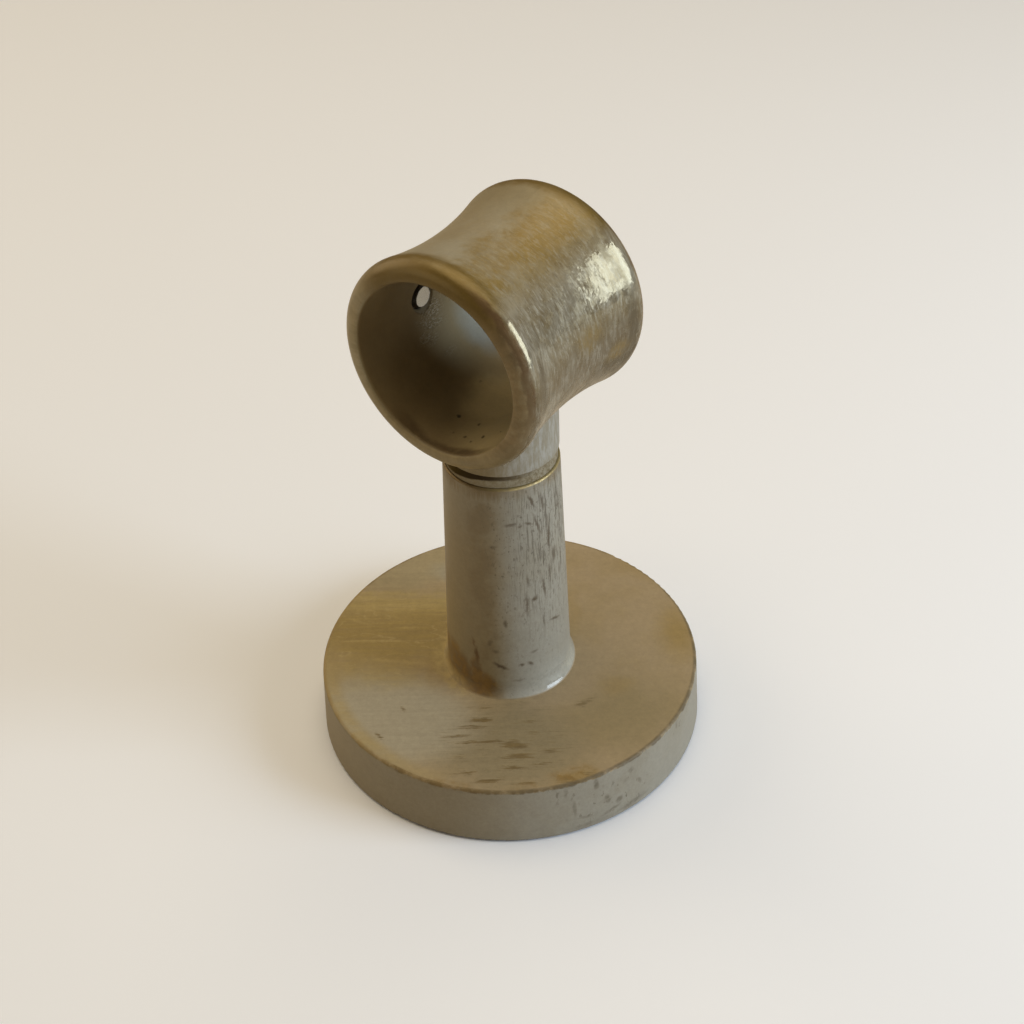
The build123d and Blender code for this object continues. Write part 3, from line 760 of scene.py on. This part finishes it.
    # painted shadow: a near-black line on the collar under the neck's edge, widest on the left
    deep = g.mul(toward(-146.0, 86.0, 20.0), 0.95)
    neck_edge_shadow = g.add(g.add(z0, deep), g.mul(g.sub(mottle, 0.5), 0.3))
    neck_edge_shadow = g.mul(g.ramp(neck_edge_shadow, NECK_Z - 0.85, NECK_Z - 0.50), g.mul(g.ramp(z0, NECK_Z + 0.22, NECK_Z + 0.10), toward(-138.0, 136.0, 62.0)))
    shaft = g.mix(g.mul(neck_edge_shadow, 0.95), shaft, (0.026, 0.017, 0.009))

    colour = g.mix(neck, body, shaft)
    colour = g.mix(face, colour, end)
    top_lip = g.mul(g.ramp(g.add(ay, g.mul(g.sub(cloud, 0.5), 2.0)), 10.4, 12.0), g.ramp(cz, 0.55, 0.90))
    top_lip = g.mul(top_lip, g.ramp(around, 0.34, 0.62, 0.70, 0.95))
    colour = g.mix(top_lip, colour, (0.132, 0.084, 0.015))
    beside = g.mul(g.band(ay, 9.2, 10.4, 11.2, 12.0), g.mul(g.band(cz, -0.40, -0.10, 0.26, 0.42), g.ramp(cx, 0.5, 0.8)))
    colour = g.mix(g.mul(beside, g.ramp(hairs, 0.64, 0.42, 0.55, 0.95)), colour, (0.112, 0.090, 0.060))
    # painted highlight on the crest
    colour = g.mix(g.mul(crest, 0.4), colour, (0.400, 0.376, 0.310))
    colour = g.mix(g.mul(g.mul(worn_line, g.less(bore)), g.ramp(around, 0.34, 0.60, 0.45, 0.85)), colour, (0.100, 0.054, 0.026))

    # bore: dull olive brown, scratched bright beside the screw, with painted light on its lower right wall and a
    # painted bluish pool of light deep on its lower left
    wall = g.mix(g.ramp(cloud, 0.36, 0.64), (0.228, 0.172, 0.090), (0.200, 0.148, 0.074))
    # painted light: the lower right wall of the bore made much lighter
    painted_lit_wall = g.dabs(loose, [(300, -6.0, 12.0, 10.0, 0, 0.75), (272, 0.0, 9.0, 7.0, 0, 0.9), (335, -4.0, 12.0, 8.0, 0, 1.0)], in_bore, 10.0, 0.7)
    wall = g.mix(painted_lit_wall, wall, (0.600, 0.500, 0.280))
    # painted light: a bluish pool of light on the wall deep in the bore, lower left
    wall = g.mix(g.dabs(loose, [(217, 10.2, 6.4, 8.0, 0, 1.0)], in_bore, 8.0, 0.6), wall, (0.232, 0.240, 0.226))
    sparkle = g.dabs(
        loose,
        [(192, 1.6, 4.0, 2.4, 8, 1.0), (200, 0.6, 4.2, 2.0, 12, 0.85), (209, -1.2, 2.8, 1.4, 10, 0.6), (222, 1.5, 2.2, 1.0, 0, 0.3)],
        in_bore,
        4.0,
        0.8,
    )
    flecks = g.noise(g.join(g.add(g.mul(y, 1.9), g.mul(cz, 6.0)), g.mul(cx, 62.0), g.mul(cz, 62.0)), 1.0, 4.0, 0.74)
    wall = g.mix(g.mul(sparkle, g.ramp(flecks, 0.49, 0.64, 0.0, 0.9)), wall, (0.470, 0.440, 0.385))
    wall = g.mix(g.mul(sparkle, g.ramp(flecks, 0.48, 0.40, 0.0, 0.9)), wall, (0.070, 0.050, 0.030))
    pits = g.dabs(
        fine,
        [
            (260, -6.5, 0.62, 0.50, 0, 1.0),
            (287.5, -9.0, 0.60, 0.36, -30, 0.9),
            (276, -9.9, 0.50, 0.36, -20, 0.8),
            (275.5, -6.4, 0.50, 0.36, -20, 0.7),
            (283, -10.6, 0.36, 0.30, 0, 0.6),
            (267, -9.9, 0.36, 0.30, 0, 0.5),
            (297, -7.6, 0.36, 0.26, 0, 0.5),
            (250, 1.5, 0.4, 0.3, 0, 0.4),
        ],
        in_bore,
        1.5,
        0.8,
    )
    wall = g.mix(pits, wall, (0.020, 0.014, 0.010))
    tapped = g.math("SQRT", g.add(g.mul(y, y), g.mul(z, z)))
    tapped = g.mul(g.ramp(tapped, 2.34, 2.14), g.ramp(x, -11.6, -12.2))
    wall = g.mix(tapped, wall, (0.018, 0.015, 0.012))
    edge_dirt = g.mul(g.mul(g.ramp(g.add(ay, g.mul(g.sub(cloud, 0.5), 3.0)), 11.9, 13.2), g.ramp(cz, -0.70, -0.95)), g.ramp(mottle, 0.25, 0.55, 0.6, 1.0))
    wall = g.mix(g.mul(edge_dirt, 0.8), wall, (0.070, 0.040, 0.018))
    colour = g.mix(bore, colour, wall)
    shade = g.add(g.mul(g.sub(mottle, 0.5), 0.20), g.add(g.mul(g.sub(grain, 0.5), 0.14), g.mul(g.sub(flecked, 0.5), 0.24)))
    colour = g.tint(colour, g.add(1.0, shade))

    outside = g.less(bore)
    metal = g.mul(g.mixf(whites, g.mul(g.most(right, crown), 0.16), 0.04), outside)
    # the painted shadow under the neck's edge is made fully metallic so that it shows black
    metal = g.most(g.mul(metal, g.less(neck)), g.mul(neck_edge_shadow, g.mul(neck, outside)))
    polish = g.noise(g.join(g.mul(cx, 7.0), g.mul(cz, 7.0), g.mul(yb, 0.55)), 1.0, 3.0, 0.62)
    glossy = g.ramp(cx, 0.46, 0.74)
    rough = g.mixf(glossy, 0.46, g.ramp(polish, 0.42, 0.62, 0.13, 0.34))
    rough = g.add(rough, g.mul(g.sub(g.most(whites, browns), 0.25), 0.10))
    rough = g.mixf(face, rough, 0.34)
    rough = g.mixf(crest, rough, 0.11)
    rough = g.mixf(neck, rough, 0.46)
    rough = g.mixf(bore, rough, 0.55)
    rough = g.math("ADD", rough, g.mul(g.sub(mottle, 0.5), 0.18), clamp=True)
    dents = g.noise(p, 0.55, 2.0, 0.55)
    brushed = g.mixf(neck, g.add(g.mul(streak, 0.6), g.mul(hairs, 0.45)), g.mul(down, 0.7))
    height = g.add(g.mul(g.mul(brushed, outside), g.mul(g.mixf(rubbed_side, 0.25, 1.0), g.mixf(glossy, 1.0, 0.6))), g.mul(mottle, 0.30))
    g.shader(
        Base_Color=colour,
        Metallic=metal,
        Roughness=rough,
        Normal=g.bump(grain, 0.006, 0.4, g.bump(height, 0.05, 0.6, g.bump(g.mul(g.mul(dents, glossy), g.less(face)), 0.14, 0.6))),
        Specular_IOR_Level=0.95,
        Specular_Tint=(1.0, 0.87, 0.56),
    )
    return g.mat


# ------------------------------------------------------------------ steel and plate
def screw_finish(name, tip_x, axis_z):
    """Blackened set screw, its flat point rubbed bright."""
    g = Graph(name)
    p = g.place()
    x, y, z = g.split(p)
    zc = g.sub(z, axis_z)
    r = g.math("SQRT", g.add(g.mul(y, y), g.mul(zc, zc)))
    cloud = g.noise(p, 1.3, 3.0, 0.6)
    grain = g.noise(p, 7.0, 3.0, 0.65)
    tip = g.mul(g.ramp(x, tip_x - 0.16, tip_x - 0.05), g.ramp(g.add(r, g.mul(g.sub(cloud, 0.5), 0.5)), 1.58, 1.44))
    crest = g.mul(g.ramp(r, 1.86, 1.96), g.ramp(cloud, 0.44, 0.62))
    bare = g.most(tip, g.mul(crest, 0.35))
    black = g.mix(g.ramp(cloud, 0.35, 0.65), (0.040, 0.036, 0.030), (0.070, 0.060, 0.046))
    colour = g.mix(bare, black, g.mix(g.ramp(grain, 0.35, 0.65), (0.72, 0.72, 0.70), (0.58, 0.58, 0.56)))
    g.shader(
        Base_Color=colour,
        Metallic=g.mixf(bare, 0.55, 0.95),
        Roughness=g.add(g.mixf(bare, 0.40, 0.30), g.mul(g.sub(grain, 0.5), 0.25)),
        Normal=g.bump(grain, 0.008, 0.5),
    )
    return g.mat


def steel_finish(name, bright, dull, rough_low, rough_high):
    g = Graph(name)
    p = g.place()
    cloud = g.noise(p, 0.9, 3.0, 0.6)
    grain = g.noise(p, 7.0, 3.0, 0.65)
    colour = g.mix(g.ramp(cloud, 0.35, 0.65), bright, dull)
    colour = g.tint(colour, g.add(1.0, g.mul(g.sub(grain, 0.5), 0.35)))
    g.shader(
        Base_Color=colour,
        Metallic=1.0,
        Roughness=g.ramp(grain, 0.30, 0.70, rough_low, rough_high),
        Normal=g.bump(grain, 0.008, 0.5),
    )
    return g.mat


def plate_finish():
    g = Graph("plate_finish")
    p = g.place()
    x, y, z = g.split(p)
    r = g.math("SQRT", g.add(g.mul(x, x), g.mul(y, y)))
    cloud = g.noise(p, 0.14, 4.0, 0.6)
    grain = g.noise(p, 3.5, 3.0, 0.6)
    turned = g.noise(g.join(g.mul(r, 3.2), 0.0, g.mul(z, 1.5)), 1.0, 3.0, 0.6)
    colour = g.mix(g.ramp(cloud, 0.36, 0.66), (0.52, 0.50, 0.46), (0.40, 0.38, 0.33))
    colour = g.mix(g.mul(g.ramp(g.noise(p, 0.35, 3.0), 0.58, 0.72), 0.5), colour, (0.30, 0.27, 0.20))
    colour = g.tint(colour, g.add(1.0, g.mul(g.sub(turned, 0.5), 0.30)))
    g.shader(
        Base_Color=colour,
        Metallic=0.85,
        Roughness=g.ramp(cloud, 0.30, 0.70, 0.36, 0.52),
        Normal=g.bump(g.add(turned, g.mul(grain, 0.3)), 0.03, 0.6),
    )
    return g.mat


MATS = {
    "base_post": base_finish(),
    "pole_ring": head_finish(),
    "joining_stud": steel_finish("stud_steel", (0.52, 0.50, 0.45), (0.42, 0.40, 0.35), 0.30, 0.45),
    "ceiling_plate": plate_finish(),
    "pole_set_screw": screw_finish("pole_screw_finish", -12.8, AXIS_Z),
    "plate_lock_screw": screw_finish("lock_screw_finish", -25.7, 3.5),
}
for name, obj in nodes.items():
    mat = MATS[name]
    if not obj.material_slots:
        obj.data.materials.append(mat)
    for slot in obj.material_slots:
        slot.material = mat


# ------------------------------------------------------------------ threaded screws
def threaded(name, place, major, pitch, length, point, point_len, tail, tail_len, socket=None, turns=48, step=0.06):
    """Screw along its own +X, its point at the origin, as one closed mesh.

    point and tail are the radii of its two ends, point_len and tail_len the lengths of their chamfers,
    and socket the width across flats and depth of a hexagon recess in the tail.
    """
    minor = major - 0.54 * pitch
    rings = int(round(length / step))
    verts, faces = [], []
    for i in range(rings + 1):
        s = length * i / rings
        limit = min(
            point + (major - point) * min(1.0, s / point_len),
            tail + (major - tail) * min(1.0, (length - s) / tail_len),
        )
        for k in range(turns):
            f = (s / pitch + k / turns) % 1.0
            crest = min(1.0, max(0.0, (0.90 - abs(2.0 * f - 1.0)) / 0.78))
            r = min(limit, minor + (major - minor) * crest)
            t = 2.0 * math.pi * k / turns
            verts.append((-s, r * math.cos(t), r * math.sin(t)))
    for i in range(rings):
        for k in range(turns):
            n = (k + 1) % turns
            faces.append((i * turns + k, i * turns + n, (i + 1) * turns + n, (i + 1) * turns + k))

    def ring(points):
        start = len(verts)
        verts.extend(points)
        return start

    def bridge(a, b):
        for k in range(turns):
            n = (k + 1) % turns
            faces.append((a + k, a + n, b + n, b + k))

    def close(a, centre):
        verts.append(centre)
        c = len(verts) - 1
        for k in range(turns):
            faces.append((a + k, a + (k + 1) % turns, c))

    # point: a slightly dished flat
    inner = ring([(-0.03, 0.78 * y, 0.78 * z) for _, y, z in verts[:turns]])
    bridge(0, inner)
    close(inner, (-0.06, 0.0, 0.0))
    last = rings * turns
    if socket is None:
        close(last, (-length - 0.02, 0.0, 0.0))
    else:
        flats, depth = socket
        hexagon = []
        for k in range(turns):
            t = 2.0 * math.pi * k / turns
            r = flats / 2.0 / math.cos((t + math.pi / 6.0) % (math.pi / 3.0) - math.pi / 6.0)
            hexagon.append((r * math.cos(t), r * math.sin(t)))
        mouth = ring([(-length, 1.10 * y, 1.10 * z) for y, z in hexagon])
        bridge(last, mouth)
        wall = ring([(-length + 0.10, y, z) for y, z in hexagon])
        bridge(mouth, wall)
        floor_ring = ring([(-length + depth, y, z) for y, z in hexagon])
        bridge(wall, floor_ring)
        close(floor_ring, (-length + depth + 0.35, 0.0, 0.0))

    mesh = bpy.data.meshes.new(name)
    mesh.from_pydata([tuple((place @ Vector(v)) * MM) for v in verts], [], faces)
    bm = bmesh.new()
    bm.from_mesh(mesh)
    bmesh.ops.recalc_face_normals(bm, faces=bm.faces)
    bm.to_mesh(mesh)
    bm.free()
    for poly in mesh.polygons:
        poly.use_smooth = True
    mesh.set_sharp_from_angle(angle=math.radians(38))
    obj = bpy.data.objects.new(name, mesh)
    scene.collection.objects.link(obj)
    return obj


SCREWS = (
    ("pole_set_screw_threaded", "pole_set_screw", "pole_screw", Matrix.Translation((-12.8, 0, AXIS_Z))),
    ("plate_lock_screw_threaded", "plate_lock_screw", "lock_screw", Matrix.Translation((-25.7, 0, 3.5))),
)
for piece_name, node, body, place in SCREWS:
    piece = threaded(piece_name, place, 1.97, 0.7, 4.0, 1.56, 0.40, 1.62, 0.35, (2.0, 1.8))
    piece.data.materials.append(MATS[node])
    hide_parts(node)
    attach(piece, body)
stud_place = Matrix.Translation((0, 0, POST_TOP + 6.0)) @ Matrix.Rotation(math.radians(-90), 4, "Y")
stud = threaded("joining_stud_threaded", stud_place, 2.97, 1.0, 15.0, 2.30, 0.7, 2.30, 0.7, None, 48, 0.1)
stud.data.materials.append(MATS["joining_stud"])
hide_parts("joining_stud")
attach(stud, "base")

# ------------------------------------------------------------------ floor
floor_mesh = bpy.data.meshes.new("floor")
n = 96
floor_mesh.from_pydata(
    [(0.62 * math.cos(2 * math.pi * i / n), 0.62 * math.sin(2 * math.pi * i / n), -0.0002) for i in range(n)],
    [],
    [list(range(n))],
)
floor = bpy.data.objects.new("floor", floor_mesh)
scene.collection.objects.link(floor)
mat = bpy.data.materials.new("floor_pale")
mat.use_nodes = True
ft = mat.node_tree
b = ft.nodes["Principled BSDF"]
b.inputs["Roughness"].default_value = 0.95
b.inputs["Specular IOR Level"].default_value = 0.2
# Seen pale, but it throws little light back up.
seen = ft.nodes.new("ShaderNodeLightPath")
tone = ft.nodes.new("ShaderNodeMix")
tone.data_type = "RGBA"
ft.links.new(seen.outputs["Is Camera Ray"], tone.inputs[0])
tone.inputs[6].default_value = (0.54, 0.50, 0.44, 1)
tone.inputs[7].default_value = (0.87, 0.91, 1.0, 1)
ft.links.new(tone.outputs[2], b.inputs["Base Color"])
floor_mesh.materials.append(mat)
